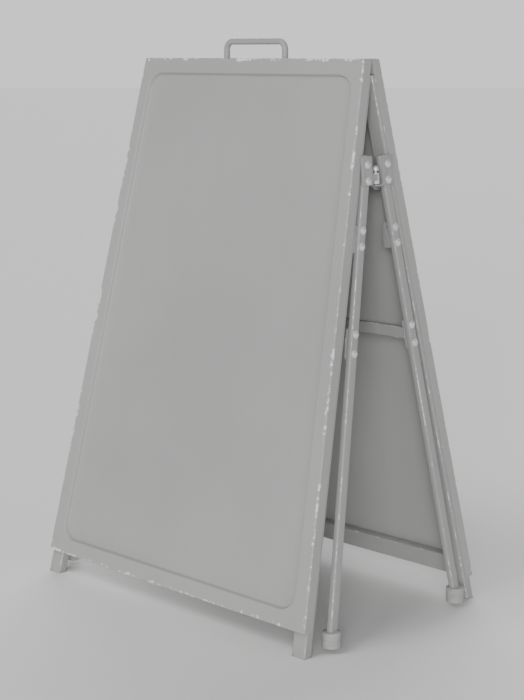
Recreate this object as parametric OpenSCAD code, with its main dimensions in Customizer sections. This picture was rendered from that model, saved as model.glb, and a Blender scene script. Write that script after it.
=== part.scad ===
// Folding sandwich board: two pressed steel panels on tube frames, held by a
// pair of braced inner legs that turn on one rod below the top edge.
// Origin: middle of the footprint, on the floor. X runs along the panels' width,
// -Y is the front half's side and +Z is up. Millimetres.

/* [Panels] */
// Width of a panel along its top edge
panel_top_w = 495; // [400:1:560]
// Width of a panel along its bottom edge
panel_bottom_w = 610; // [520:1:700]
// Length of a panel's face down its slope
panel_len = 860; // [700:1:1050]
// Lean of each panel from upright when the board stands open, in degrees
panel_lean = 12.4; // [9:0.1:16]
// Thickness of the sheet steel
sheet_t = 1.2; // [0.8:0.1:2]
// Depth of a panel's folded side, square to its face
flange_d = 17; // [14:0.5:24]
// Depth that the middle of the face is pressed in
recess_d = 6; // [3:0.5:6.5]
// Corner radius of the pressed field
recess_r = 30; // [12:1:60]
// Border above the pressed field
border_top = 24; // [20:1:40]
// Border below the pressed field
border_bottom = 25; // [20:1:40]
// Side border beside the pressed field at its top corners
border_side_top = 18; // [14:1:34]
// Side border beside the pressed field at its bottom corners
border_side_bottom = 28; // [20:1:44]

/* [Outer frame] */
// Length of the stiles below the sheet, down the slope
stub_len = 40; // [20:1:80]
// Width of a stile tube across the panel
stile_w = 27; // [20:0.5:34]
// Depth of a stile tube, square to the face
stile_d = 16; // [12:0.5:24]
// Wall of the stile and rail tubes
tube_wall = 1.5; // [1:0.1:2.5]
// Height of the top rail
top_rail_h = 21; // [16:1:22]
// Height of the bottom rail
bottom_rail_h = 32; // [16:1:36]

/* [Inner legs] */
// Height of the hinge rod's axis above the floor
hinge_z = 701; // [560:1:760]
// Sideways splay of the inner legs, in degrees
leg_splay = 4.65; // [0:0.05:8]
// Lean of the inner legs from upright, in degrees
leg_lean = 10.4; // [8:0.1:14]
// Width of an inner leg's tube across the board
leg_w = 10; // [8:0.5:16]
// Depth of an inner leg's tube
leg_d = 16; // [12:0.5:22]
// Wall of an inner leg's tube
leg_wall = 1.5; // [1:0.1:2.5]
// Length of an inner leg above the rod's axis
leg_above = 34; // [26:1:40]
// Diameter of a foot cap
cap_dia = 30; // [26:1:44]
// Height of a foot cap
cap_h = 25; // [16:1:40]
// Air under the foot caps while the board stands open on its four stiles
cap_clear = 8; // [1:0.5:20]

/* [Cross bars and stand-offs] */
// Height of the cross bars' middle above the floor
crossbar_z = 456; // [300:1:600]
// Height of a cross bar's tube
crossbar_h = 18; // [12:1:30]
// Depth of a cross bar's tube
crossbar_d = 12; // [8:1:16]
// Height of a cross bar's end plate
end_plate_h = 46; // [34:1:60]
// Distance from the hinge rod's axis down to the stand-offs' middle
standoff_drop = 89; // [70:1:150]
// Height of a stand-off block
standoff_h = 40; // [30:1:60]

/* [Hinge and lock] */
// Diameter of the hinge rod and of the handle's rod
rod_dia = 10; // [8:0.5:12]
// Radial clearance of the rod in the back half's bushes
running_gap = 0.08; // [0.02:0.01:0.1]
// Thickness of the lugs and the lock plates
plate_t = 3; // [2:0.5:5]
// Height of a lock plate
lock_plate_h = 44; // [36:1:54]
// Diameter of the lock barrel
barrel_dia = 10.4; // [9:0.2:14]
// Diameter of the lock pin's shank
pin_dia = 4.4; // [3:0.2:5.2]
// Travel of the lock pin
pin_travel = 3; // [2:0.5:4]
// Turn of the back half from open to folded, in degrees
fold_angle = 21.5; // [16:0.5:26]

/* [Handle] */
// Distance between the handle's two posts, centre to centre
handle_w = 132; // [100:1:200]
// Height of the handle above the panels' top edge
handle_rise = 31; // [26:1:60]
// Radius of the handle's corners along its centre line
handle_corner = 13; // [9:1:24]

/* [Fasteners] */
// Diameter of a bolt's shank
bolt_dia = 6; // [4:0.5:8]
// Diameter of a bolt's domed head
bolt_head = 10.4; // [8:0.2:13]
// Spacing of a pair of bolts along a leg
bolt_spacing = 24; // [20:1:30]

/* [Hidden] */
$fn = 48;

touch = 0.15;          // air on each side of the plane where the two halves meet
cut = 1;               // how far a cutting shape runs past what it cuts
big = 2000;            // larger than the whole board
hole_gap = 0.1;        // radial air round a bolt
press_run = recess_d;  // width of the sloping wall round the pressed field

total_len = panel_len + stub_len;
top_z = total_len * cos(panel_lean);
top_y = flange_d / cos(panel_lean) + touch;
stile_front = sheet_t + recess_d + 0.1;
taper = atan((panel_bottom_w - panel_top_w) / 2 / panel_len);

plug_flange = 2;
plug_depth = 22;
plug_gap = 0.2;

lock_low = -11;                     // bottom of the lock plates, from the rod's axis
lock_top = lock_low + lock_plate_h;
leg_z = hinge_z + leg_above;        // top of the inner legs
leg_air = 0.4;                      // air between the legs' top and the stiles' backs
leg_offset = top_y + (top_z - leg_z) * tan(panel_lean) - (stile_front + stile_d) / cos(panel_lean)
  + leg_above * tan(leg_lean) - leg_d / 2 / cos(leg_lean) - leg_air;
leg_x = half_w((top_z - hinge_z - lock_top) / cos(panel_lean)) + 0.2 + lock_top * tan(leg_splay) - leg_w / 2;

bush_wall = 2;
bush_r = rod_dia / 2 + running_gap + bush_wall;
lug_r = bush_r + 4;
lug_half_h = 20;
lug_gap = 0.4;
lug_face = leg_x - leg_w / 2 - 2;  // outer face of the front lugs
collar_w = 8;
collar_r = rod_dia / 2 + 4;

lock_far_edge = leg_offset + 12;    // far edge of a lock plate from the middle plane
lock_near_edge = 12;                // near edge of a lock plate from the middle plane
barrel_x = leg_w / 2 + plate_t - barrel_dia / 2 + 0.2;
barrel_low = lock_low + 1.6;
barrel_top = barrel_low + 16.6;
shelf_t = 2;
shelf_reach = 4.5;
knob_gap = 0.2;
knob_low = barrel_top + pin_travel + knob_gap;
knob_rim = 3;
knob_r = barrel_dia / 2 - 0.2;
pin_tip = lock_low + 0.6;
bolt_head_h = 3;
bolt_low = -4;                      // lower bolt of a lock plate, from the rod's axis

standoff_z = hinge_z - standoff_drop;
frame_bolt_z = [standoff_z - bolt_spacing / 2, standoff_z + bolt_spacing / 2,
                crossbar_z - bolt_spacing * 0.6, crossbar_z + bolt_spacing * 0.6];
standoff_bolts = [0, 1];            // which of those bolts reach into a stand-off
crossbar_bolts = [2, 3];            // which of those bolts reach into a cross bar's end plate
standoff_w = 14;
bolt_reach = leg_w + plate_t + 2;   // length of a frame bolt's shank

// ---- frames of reference ----

// Draws its children in the front panel's own frame: x across, y into the depth, z up the slope,
// from the middle of the face's top edge.
module on_panel() {
  translate([0, -top_y, top_z]) rotate([-panel_lean, 0, 0]) children();
}

// Draws its children in one side's leg frame: x outward, z up along the splayed legs, origin on the rod's axis.
module on_side(s) {
  if (s > 0) translate([leg_x, 0, hinge_z]) rotate([0, -leg_splay, 0]) children();
  else mirror([1, 0, 0]) translate([leg_x, 0, hinge_z]) rotate([0, -leg_splay, 0]) children();
}

// Turns front pieces into back pieces.
module back_half() mirror([0, 1, 0]) children();

// Keeps only what is above the floor, below the level top and on the front side of the middle plane.
module trimmed(top = 0, floor_z = 0) {
  difference() {
    children();
    translate([-big / 2, -big / 2, top_z - top]) cube([big, big, 100]);
    translate([-big / 2, -big / 2, floor_z - 200]) cube([big, big, 200]);
    translate([-big / 2, -touch, 0]) cube([big, 200, big]);
  }
}

// Upright cylinders where the handle's posts pass between the two top rails.
module post_room(gap) {
  for (s = [-1, 1]) translate([s * handle_w / 2, 0, hinge_z]) cylinder(r = rod_dia / 2 + gap, h = 400);
}

// ---- sheet ----

// Half width of the face at a distance down the slope.
function half_w(down) = panel_top_w / 2 + down * tan(taper);

module face_outline(grow_top = 0) {
  polygon([[-half_w(-grow_top), grow_top], [half_w(-grow_top), grow_top],
           [half_w(panel_len), -panel_len], [-half_w(panel_len), -panel_len]]);
}

// Outline of the pressed field's rim, brought in by an inset, with round corners.
module field_outline(inset) {
  r = recess_r - inset;
  x_top = half_w(border_top) - border_side_top - recess_r;
  x_bottom = half_w(panel_len - border_bottom) - border_side_bottom - recess_r;
  z_top = -border_top - recess_r;
  z_bottom = -panel_len + border_bottom + recess_r;
  hull() for (s = [-1, 1]) {
    translate([s * x_top, z_top]) circle(r = r);
    translate([s * x_bottom, z_bottom]) circle(r = r);
  }
}

// A plate in the face's plane: from one depth to another.
module face_plate(from, to) {
  translate([0, to, 0]) rotate([90, 0, 0]) linear_extrude(to - from) children();
}

// The pressed field as a solid that narrows with depth.
module field_solid(wall, depth) {
  thin = 0.01;
  hull() {
    face_plate(-cut, -cut + thin) field_outline(-cut - wall);
    face_plate(depth - thin, depth) field_outline(press_run - wall);
  }
}

module side_flange(s) {
  mirror([s > 0 ? 0 : 1, 0, 0])
    translate([panel_top_w / 2, 0, 0]) rotate([0, -taper, 0])
      translate([-sheet_t, 0, -panel_len - 20]) cube([sheet_t, flange_d, panel_len + 40]);
}

module sheet() {
  difference() {
    trimmed() on_panel() {
      difference() {
        union() {
          face_plate(0, sheet_t) face_outline(10);
          intersection() {
            field_solid(sheet_t, recess_d + sheet_t);
            face_plate(0, recess_d + sheet_t) face_outline();
          }
          intersection() {
            for (s = [-1, 1]) side_flange(s);
            translate([-big / 2, 0, -panel_len]) cube([big, flange_d, panel_len + 30]);
          }
          face_plate(0, recess_d) difference() {
            face_outline();
            translate([-big / 2, -panel_len + sheet_t]) square([big, big]);
          }
        }
        field_solid(0, recess_d);
      }
      top_flange();
    }
    post_room(0.4);
  }
}

// The level strip that closes the panel's top edge.
module top_flange() {
  rotate([panel_lean, 0, 0])
    translate([-panel_top_w / 2 + sheet_t / 2, 0.2, -sheet_t]) cube([panel_top_w - sheet_t, top_y, sheet_t]);
}

// ---- outer frame ----

// Outer shape of the right stile, in the panel's frame.
module stile_block(inset, top_down, reach) {
  translate([panel_top_w / 2, 0, 0]) rotate([0, -taper, 0])
    translate([-sheet_t - stile_w + inset, stile_front + inset, -total_len - reach])
      cube([stile_w - 2 * inset, stile_d - 2 * inset, total_len + reach - top_down]);
}

module stile(s) {
  mirror([s > 0 ? 0 : 1, 0, 0])
    trimmed(0, plug_flange) on_panel() difference() {
      stile_block(0, top_rail_h + 1, 30);
      stile_block(tube_wall, top_rail_h - cut, 32);
    }
}

module leg_plugs() {
  for (s = [-1, 1]) mirror([s > 0 ? 0 : 1, 0, 0]) {
    difference() {
      on_panel() stile_block(0, total_len - 20, 30);
      translate([-big / 2, -big / 2, plug_flange]) cube([big, big, 200]);
      translate([-big / 2, -big / 2, -200]) cube([big, big, 200]);
    }
    difference() {
      on_panel() stile_block(tube_wall + plug_gap, total_len - plug_depth, 30);
      translate([-big / 2, -big / 2, plug_flange - 200]) cube([big, big, 200]);
    }
  }
}

module top_rail() {
  inner = [sheet_t + 0.1, flange_d];
  difference() {
    trimmed(sheet_t + 0.05) on_panel() difference() {
      rail_prism(inner[0], inner[1], top_rail_h, 10, sheet_t + 0.1);
      translate([0, 0, -1.6]) rail_prism(inner[0] + tube_wall, inner[1] - tube_wall,
                                         top_rail_h - 2 * tube_wall, 0, sheet_t + 4);
    }
    post_room(0.4);
  }
}

// A bar that follows the panel's taper: depths, height, how far it runs above the top edge, and end inset.
module rail_prism(from, to, h, above, inset) {
  face_plate(from, to) polygon([
    [-half_w(-above) + inset, above], [half_w(-above) - inset, above],
    [half_w(h) - inset, -h], [-half_w(h) + inset, -h]]);
}

module bottom_rail() {
  low = panel_len - 6.5;
  inset = (sheet_t + stile_w) / cos(taper) + 0.05;
  on_panel() difference() {
    rail_between(stile_front, stile_front + stile_d, low - bottom_rail_h, low, inset);
    rail_between(stile_front + tube_wall, stile_front + stile_d - tube_wall,
                 low - bottom_rail_h + tube_wall, low - tube_wall, inset - 5);
  }
}

// A bar between two distances down the slope, its ends cut to the stiles.
module rail_between(from, to, down_a, down_b, inset) {
  face_plate(from, to) polygon([
    [-half_w(down_a) + inset, -down_a], [half_w(down_a) - inset, -down_a],
    [half_w(down_b) - inset, -down_b], [-half_w(down_b) + inset, -down_b]]);
}

// ---- inner legs ----

// Outer shape of a front inner leg, in the leg frame.
module leg_block(inset, above, below) {
  translate([0, -leg_offset, 0]) rotate([-leg_lean, 0, 0])
    translate([-leg_w / 2 + inset, -leg_d / 2 + inset, -below])
      cube([leg_w - 2 * inset, leg_d - 2 * inset, below + above]);
}

function leg_y(z) = -leg_offset - (hinge_z - z) / cos(leg_splay) * tan(leg_lean);
function leg_centre_x(z) = leg_x + (hinge_z - z) * tan(leg_splay);
function side_z(z) = (z - hinge_z) / cos(leg_splay);

leg_end_z = cap_clear + 4;  // where the tube ends inside its foot cap

module inner_leg(s) {
  difference() {
    on_side(s) difference() {
      leg_block(0, leg_above, hinge_z / cos(leg_lean) + 20);
      leg_block(leg_wall, leg_above - leg_wall, hinge_z / cos(leg_lean) + 22);
      for (z = [bolt_low, bolt_low + bolt_spacing]) bolt_hole(-leg_offset, z, 0);
      for (z = frame_bolt_z) bolt_hole(leg_y(z), side_z(z), -leg_w / 2 - cut);
    }
    translate([-big / 2, -big / 2, leg_end_z - 200]) cube([big, big, 200]);
  }
}

// A bolt's hole at y, z in the leg frame, from an x outward.
module bolt_hole(y, z, from) {
  translate([from, y, z]) rotate([0, 90, 0])
    cylinder(r = bolt_dia / 2 + hole_gap, h = 40);
}

module foot_cap(s) {
  foot_z = cap_clear + cap_h / 2;
  difference() {
    translate([s * leg_centre_x(foot_z), leg_y(foot_z), cap_clear]) rotate_extrude($fn = 64) polygon([
      [0, 0], [cap_dia / 2 - 1.5, 0], [cap_dia / 2, 1.5], [cap_dia / 2, cap_h - 2],
      [cap_dia / 2 - 2, cap_h], [0, cap_h]]);
    difference() {
      on_side(s) leg_block(0, leg_above, hinge_z / cos(leg_lean) + 20);
      translate([-big / 2, -big / 2, leg_end_z - 200]) cube([big, big, 200]);
    }
  }
}

// ---- cross bar and stand-offs ----

module crossbar() {
  y = leg_y(crossbar_z);
  reach = leg_w / 2 + plate_t;
  x_at = function(z) leg_centre_x(z) - reach / cos(leg_splay);
  low = crossbar_z - crossbar_h / 2;
  high = crossbar_z + crossbar_h / 2;
  difference() {
    translate([0, y + crossbar_d / 2, 0]) rotate([90, 0, 0]) linear_extrude(crossbar_d) polygon([
      [-x_at(low), low], [x_at(low), low], [x_at(high), high], [-x_at(high), high]]);
    translate([-big / 2, y - crossbar_d / 2 + leg_wall, low + leg_wall])
      cube([big, crossbar_d - 2 * leg_wall, crossbar_h - 2 * leg_wall]);
  }
  for (s = [-1, 1]) on_side(s) end_plate();
}

module end_plate() {
  difference() {
    translate([-leg_w / 2 - plate_t, leg_y(crossbar_z), side_z(crossbar_z)]) rotate([-leg_lean, 0, 0])
      translate([0, -leg_d / 2, -end_plate_h / 2]) cube([plate_t, leg_d, end_plate_h]);
    for (i = crossbar_bolts) bolt_hole(leg_y(frame_bolt_z[i]), side_z(frame_bolt_z[i]), -leg_w / 2 - plate_t - cut);
  }
}

// A block between an inner leg and its stile, cut to fit both.
module standoff(s) {
  z = standoff_z;
  y_leg = leg_y(z);
  difference() {
    on_side(s) translate([-leg_w / 2 - standoff_w, y_leg - 60, side_z(z) - standoff_h / 2])
      cube([standoff_w + leg_w / 2, 64, standoff_h]);
    on_side(s) leg_block(0, leg_above, hinge_z + 100);
    on_panel() translate([-big / 2, stile_front + stile_d - 200, -big]) cube([big, 200, 2 * big]);
    for (i = standoff_bolts)
      on_side(s) bolt_hole(leg_y(frame_bolt_z[i]), side_z(frame_bolt_z[i]), leg_w / 2 - bolt_reach - 2);
  }
}

module standoffs() for (s = [-1, 1]) standoff(s);

// ---- hinge ----

// Profile of a front lug in the plane across the rod: a round eye and an arm to the leg.
module lug_outline(bore_r) {
  arm_far = leg_offset + leg_d / 2 - 4;
  arm_near = leg_offset - leg_d / 2;
  difference() {
    union() {
      circle(r = lug_r);
      polygon([[0, lug_r], [-arm_near, lug_half_h - 6], [-arm_far, lug_half_h - 6],
               [-arm_far, -lug_half_h], [-arm_near, -lug_half_h], [0, -lug_r]]);
    }
    circle(r = bore_r);
  }
}

// A plate across the rod on the right side: its outer face at x, drawn from a y-z outline.
module across_rod(x, t) {
  translate([x - t, 0, hinge_z]) rotate([90, 0, 90]) linear_extrude(t) children();
}

module lug(s, outer, bore_r) {
  mirror([s > 0 ? 0 : 1, 0, 0]) {
    across_rod(outer, plate_t) lug_outline(bore_r);
    difference() {
      translate([outer, -leg_offset - leg_d / 2 + 4, hinge_z - lug_half_h + 4])
        cube([leg_x - outer, leg_d - 7, 2 * lug_half_h - 14]);
      on_side(1) leg_block(0, leg_above, 60);
    }
  }
}

module front_lug(s) lug(s, lug_face, rod_dia / 2);
module back_lug(s) back_half() lug(s, lug_face - plate_t - lug_gap, bush_r);

module rod() {
  translate([-lug_face, 0, hinge_z]) rotate([0, 90, 0]) cylinder(r = rod_dia / 2, h = 2 * lug_face);
}

bush_x = lug_face - plate_t - lug_gap;

module bushes() {
  for (s = [-1, 1]) mirror([s > 0 ? 0 : 1, 0, 0])
    across_rod(bush_x, plate_t + 1) difference() {
      circle(r = bush_r);
      circle(r = rod_dia / 2 + running_gap);
    }
}

module collars() {
  x = bush_x - plate_t - 1 - lug_gap;
  for (s = [-1, 1]) mirror([s > 0 ? 0 : 1, 0, 0])
    across_rod(x, collar_w) difference() {
      circle(r = collar_r);
      circle(r = rod_dia / 2);
    }
}

module handle_loop() {
  half = handle_w / 2;
  top = top_z + handle_rise - rod_dia / 2;
  straight = top - handle_corner - hinge_z;
  difference() {
    union() {
      for (s = [-1, 1]) {
        translate([s * half, 0, hinge_z]) cylinder(r = rod_dia / 2, h = straight);
        translate([s * (half - handle_corner), 0, top - handle_corner])
          mirror([s > 0 ? 0 : 1, 0, 0]) rotate([90, 0, 0])
            rotate_extrude(angle = 90) translate([handle_corner, 0]) circle(r = rod_dia / 2);
        translate([s * half - 9, 0, hinge_z]) rotate([0, 90, 0]) cylinder(r = collar_r, h = 18);
      }
      translate([-half + handle_corner, 0, top]) rotate([0, 90, 0])
        cylinder(r = rod_dia / 2, h = 2 * (half - handle_corner));
    }
    translate([-half - 20, 0, hinge_z]) rotate([0, 90, 0]) cylinder(r = rod_dia / 2, h = handle_w + 40);
  }
}

// ---- lock ----

// Plate on the outer face of a front inner leg, in the leg frame.
module lock_plate_blank() {
  translate([leg_w / 2, -lock_far_edge, lock_low])
    cube([plate_t, lock_far_edge - lock_near_edge, lock_plate_h]);
}

module front_lock_plate(s) {
  arm_h = 10;
  on_side(s) difference() {
    union() {
      lock_plate_blank();
      translate([leg_w / 2, -lock_near_edge - cut, -arm_h / 2]) cube([plate_t, lock_near_edge + cut, arm_h]);
    }
    plate_holes();
    translate([barrel_x, 0, lock_low]) cylinder(r = barrel_dia / 2, h = lock_plate_h);
  }
}

// Its shelf has a hole for the pin at the open board, run into a second one at the folded board.
module back_lock_plate(s) {
  back_half() difference() {
    on_side(s) difference() {
      union() {
        lock_plate_blank();
        translate([leg_w / 2, -lock_near_edge - 2, lock_low - shelf_t]) cube([plate_t, 4, shelf_t + 4]);
        translate([-2, -lock_near_edge - 2, lock_low - shelf_t])
          cube([leg_w / 2 + plate_t + 2, lock_near_edge + 2 + shelf_reach, shelf_t]);
      }
      plate_holes();
      leg_block(-0.2, leg_above, 60);
    }
    for (turn = [0, fold_angle])
      translate([0, 0, hinge_z]) rotate([-turn, 0, 0]) translate([0, 0, -hinge_z])
        on_side(s) translate([barrel_x, 0, lock_low - 10]) cylinder(r = pin_dia / 2 + 0.3, h = 12);
  }
}

module plate_holes() {
  for (z = [bolt_low, bolt_low + bolt_spacing]) bolt_hole(-leg_offset, z, 0);
}

module lock_barrel(s) {
  on_side(s) translate([barrel_x, 0, barrel_low]) difference() {
    cylinder(r = barrel_dia / 2, h = barrel_top - barrel_low);
    translate([0, 0, -cut]) cylinder(r = pin_dia / 2 + running_gap, h = 60);
  }
}

module lock_pin(s) {
  dome = 5;
  on_side(s) translate([barrel_x, 0, 0]) {
    translate([0, 0, pin_tip]) cylinder(r = pin_dia / 2, h = knob_low - pin_tip + 1);
    translate([0, 0, knob_low]) rotate_extrude() polygon(concat(
      [[0, 0], [knob_r, 0], [knob_r, knob_rim]],
      [for (a = [10:10:90]) [knob_r * cos(a), knob_rim + dome * sin(a)]]));
  }
}

// ---- fasteners ----

// A domed bolt lying along x in the leg frame: its head rests at x, and its shank runs inward.
module bolt(x, y, z, reach) {
  head_r = bolt_head / 2;
  translate([x, y, z]) rotate([0, 90, 0]) {
    rotate_extrude() polygon([
      [0, 0], [head_r, 0], [head_r, 1.2], [head_r * 0.8, bolt_head_h * 0.8], [head_r * 0.45, bolt_head_h],
      [0, bolt_head_h]]);
    translate([0, 0, -reach]) cylinder(r = bolt_dia / 2, h = reach);
  }
}

module plate_bolts() {
  for (s = [-1, 1], z = [bolt_low, bolt_low + bolt_spacing])
    on_side(s) bolt(leg_w / 2 + plate_t, -leg_offset, z, plate_t + leg_w / 2);
}

module frame_bolts() {
  for (s = [-1, 1], z = frame_bolt_z)
    on_side(s) bolt(leg_w / 2, leg_y(z), side_z(z), bolt_reach);
}

// ---- sub-parts ----

module front_sheet() color("gainsboro") sheet();
module front_left_stile() color("silver") stile(-1);
module front_right_stile() color("silver") stile(1);
module front_top_rail() color("silver") top_rail();
module front_bottom_rail() color("silver") bottom_rail();
module front_leg_plugs() color("dimgray") leg_plugs();
module front_left_inner_leg() color("silver") inner_leg(-1);
module front_right_inner_leg() color("silver") inner_leg(1);
module front_left_foot_cap() color("dimgray") foot_cap(-1);
module front_right_foot_cap() color("dimgray") foot_cap(1);
module front_crossbar() color("silver") crossbar();
module front_standoffs() color("silver") standoffs();
module front_left_lug() color("darkgray") front_lug(-1);
module front_right_lug() color("darkgray") front_lug(1);
module front_left_lock_plate() color("lightgray") front_lock_plate(-1);
module front_right_lock_plate() color("lightgray") front_lock_plate(1);
module left_lock_barrel() color("whitesmoke") lock_barrel(-1);
module right_lock_barrel() color("whitesmoke") lock_barrel(1);
module front_plate_bolts() color("lightgray") plate_bolts();
module front_frame_bolts() color("lightgray") frame_bolts();
module hinge_rod() color("lightgray") rod();
module rod_collars() color("darkgray") collars();
module handle() color("lightgray") handle_loop();
module back_sheet() color("gainsboro") back_half() sheet();
module back_left_stile() color("silver") back_half() stile(-1);
module back_right_stile() color("silver") back_half() stile(1);
module back_top_rail() color("silver") back_half() top_rail();
module back_bottom_rail() color("silver") back_half() bottom_rail();
module back_leg_plugs() color("dimgray") back_half() leg_plugs();
module back_left_inner_leg() color("silver") back_half() inner_leg(-1);
module back_right_inner_leg() color("silver") back_half() inner_leg(1);
module back_left_foot_cap() color("dimgray") back_half() foot_cap(-1);
module back_right_foot_cap() color("dimgray") back_half() foot_cap(1);
module back_crossbar() color("silver") back_half() crossbar();
module back_standoffs() color("silver") back_half() standoffs();
module back_left_lug() color("darkgray") back_lug(-1);
module back_right_lug() color("darkgray") back_lug(1);
module back_left_lock_plate() color("lightgray") back_lock_plate(-1);
module back_right_lock_plate() color("lightgray") back_lock_plate(1);
module rod_bushes() color("dimgray") bushes();
module back_plate_bolts() color("lightgray") back_half() plate_bolts();
module back_frame_bolts() color("lightgray") back_half() frame_bolts();
module left_lock_pin() color("whitesmoke") lock_pin(-1);
module right_lock_pin() color("whitesmoke") lock_pin(1);

front_sheet();
front_left_stile();
front_right_stile();
front_top_rail();
front_bottom_rail();
front_leg_plugs();
front_left_inner_leg();
front_right_inner_leg();
front_left_foot_cap();
front_right_foot_cap();
front_crossbar();
front_standoffs();
front_left_lug();
front_right_lug();
front_left_lock_plate();
front_right_lock_plate();
left_lock_barrel();
right_lock_barrel();
front_plate_bolts();
front_frame_bolts();
hinge_rod();
rod_collars();
handle();
back_sheet();
back_left_stile();
back_right_stile();
back_top_rail();
back_bottom_rail();
back_leg_plugs();
back_left_inner_leg();
back_right_inner_leg();
back_left_foot_cap();
back_right_foot_cap();
back_crossbar();
back_standoffs();
back_left_lug();
back_right_lug();
back_left_lock_plate();
back_right_lock_plate();
rod_bushes();
back_plate_bolts();
back_frame_bolts();
left_lock_pin();
right_lock_pin();
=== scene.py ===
# Folding sandwich board: painted steel panels, braced inner legs, hinge rod, handle and drop-pin locks.
# Metres, +Z up, -Y out of the front panel.
import bpy
import bmesh
from math import atan, cos, pi, radians, sin, sqrt, tan
from mathutils import Matrix, Vector


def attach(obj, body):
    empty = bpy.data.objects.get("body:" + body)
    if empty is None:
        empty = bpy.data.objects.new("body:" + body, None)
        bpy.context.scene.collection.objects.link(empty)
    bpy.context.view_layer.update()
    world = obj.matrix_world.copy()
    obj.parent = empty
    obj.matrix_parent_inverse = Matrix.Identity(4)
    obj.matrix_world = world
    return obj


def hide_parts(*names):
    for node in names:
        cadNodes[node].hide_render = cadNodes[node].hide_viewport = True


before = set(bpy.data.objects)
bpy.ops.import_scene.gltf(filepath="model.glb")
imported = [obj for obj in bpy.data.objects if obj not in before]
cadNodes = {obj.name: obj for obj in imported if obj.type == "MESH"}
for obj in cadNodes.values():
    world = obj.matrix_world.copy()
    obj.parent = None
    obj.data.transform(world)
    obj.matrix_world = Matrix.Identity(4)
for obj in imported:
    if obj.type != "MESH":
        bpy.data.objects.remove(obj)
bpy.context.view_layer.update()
print("frame loaded:", len(cadNodes), "nodes")

# the board's own measurements, the same as in the part's source
board = {
    "topWidth": 0.495, "bottomWidth": 0.610, "panelLength": 0.860, "stubLength": 0.040,
    "lean": radians(12.4), "sheetThickness": 0.0012, "flangeDepth": 0.017, "meetingGap": 0.00015,
    "stileWidth": 0.027, "stileDepth": 0.016, "tubeWall": 0.0015, "stileStart": 0.0073,
    "hingeHeight": 0.701, "splay": radians(4.65), "legLean": radians(10.4),
    "legWidth": 0.010, "legDepth": 0.016, "legAbove": 0.034, "lockTop": 0.033,
    "legAir": 0.0004, "plateAir": 0.0002,       # air behind the stiles, and between lock plates and stiles
}
taper = atan((board["bottomWidth"] - board["topWidth"]) / 2 / board["panelLength"])
topZ = (board["panelLength"] + board["stubLength"]) * cos(board["lean"])
topY = board["flangeDepth"] / cos(board["lean"]) + board["meetingGap"]
hingeZ = board["hingeHeight"]


def halfWidth(down):
    return board["topWidth"] / 2 + down * tan(taper)


legOffset = (topY + (topZ - hingeZ - board["legAbove"]) * tan(board["lean"])
             - (board["stileStart"] + board["stileDepth"]) / cos(board["lean"])
             + board["legAbove"] * tan(board["legLean"])
             - board["legDepth"] / 2 / cos(board["legLean"]) - board["legAir"])
legX = (halfWidth((topZ - hingeZ - board["lockTop"]) / cos(board["lean"])) + board["plateAir"]
        + board["lockTop"] * tan(board["splay"]) - board["legWidth"] / 2)

across = Vector((1, 0, 0))
depthWay = Vector((0, cos(board["lean"]), -sin(board["lean"])))     # into the front panel
upSlope = Vector((0, sin(board["lean"]), cos(board["lean"])))       # up the front panel
stileAcross = across * cos(taper) + upSlope * sin(taper)
stileUp = -across * sin(taper) + upSlope * cos(taper)
sideOut = Vector((cos(board["splay"]), 0, sin(board["splay"])))     # out of the right side's leg plane
sideUp = Vector((-sin(board["splay"]), 0, cos(board["splay"])))
legUp = sideUp * cos(board["legLean"]) + Vector((0, 1, 0)) * sin(board["legLean"])
legDepthWay = Vector((0, 1, 0)) * cos(board["legLean"]) - sideUp * sin(board["legLean"])


def onPanel(x, depth, up):
    return Vector((x, -topY, topZ)) + depthWay * depth + upSlope * up


def onSide(x, y, z):
    return Vector((legX, y, hingeZ)) + sideOut * x + sideUp * z


def sideHeight(z):
    return (z - hingeZ) / cos(board["splay"])


def legY(z):
    return -legOffset + sideHeight(z) * tan(board["legLean"])


def legCentreX(z):
    return legX + (hingeZ - z) * tan(board["splay"])


# node helpers
def addNode(tree, kind, inputs=None, **settings):
    made = tree.nodes.new(kind)
    for key, value in settings.items():
        setattr(made, key, value)
    for key, value in (inputs or {}).items():
        made.inputs[key].default_value = value
    return made


def noiseOn(tree, coords, scale, detail=2.0, rough=0.5, stretch=None):
    noise = addNode(tree, "ShaderNodeTexNoise", {"Scale": scale, "Detail": detail, "Roughness": rough})
    if stretch:
        mapping = addNode(tree, "ShaderNodeMapping", {"Scale": stretch})
        tree.links.new(coords, mapping.inputs["Vector"])
        tree.links.new(mapping.outputs["Vector"], noise.inputs["Vector"])
    else:
        tree.links.new(coords, noise.inputs["Vector"])
    return noise.outputs["Fac"]


def remap(tree, value, low, high, toLow=0.0, toHigh=1.0, smooth=False):
    made = addNode(tree, "ShaderNodeMapRange",
                   {"From Min": low, "From Max": high, "To Min": toLow, "To Max": toHigh})
    made.interpolation_type = "SMOOTHSTEP" if smooth else "LINEAR"
    tree.links.new(value, made.inputs["Value"])
    return made.outputs["Result"]


def mathOf(tree, operation, a, b):
    made = addNode(tree, "ShaderNodeMath", operation=operation)
    for socket, value in zip(made.inputs, (a, b)):
        if isinstance(value, (int, float)):
            socket.default_value = value
        else:
            tree.links.new(value, socket)
    return made.outputs["Value"]


def mixColours(tree, factor, a, b):
    made = addNode(tree, "ShaderNodeMix", data_type="RGBA")
    tree.links.new(factor, made.inputs[0])
    for socket, value in ((made.inputs[6], a), (made.inputs[7], b)):
        if hasattr(value, "links"):
            tree.links.new(value, socket)
        else:
            socket.default_value = (*value, 1)
    return made.outputs[2]


def shade(colour, amount):
    return tuple(c * amount for c in colour)


def startMaterial(name):
    material = bpy.data.materials.new(name)
    material.use_nodes = True
    tree = material.node_tree
    shader = tree.nodes["Principled BSDF"]
    coords = addNode(tree, "ShaderNodeTexCoord").outputs["Object"]
    return material, tree, shader, coords


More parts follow.
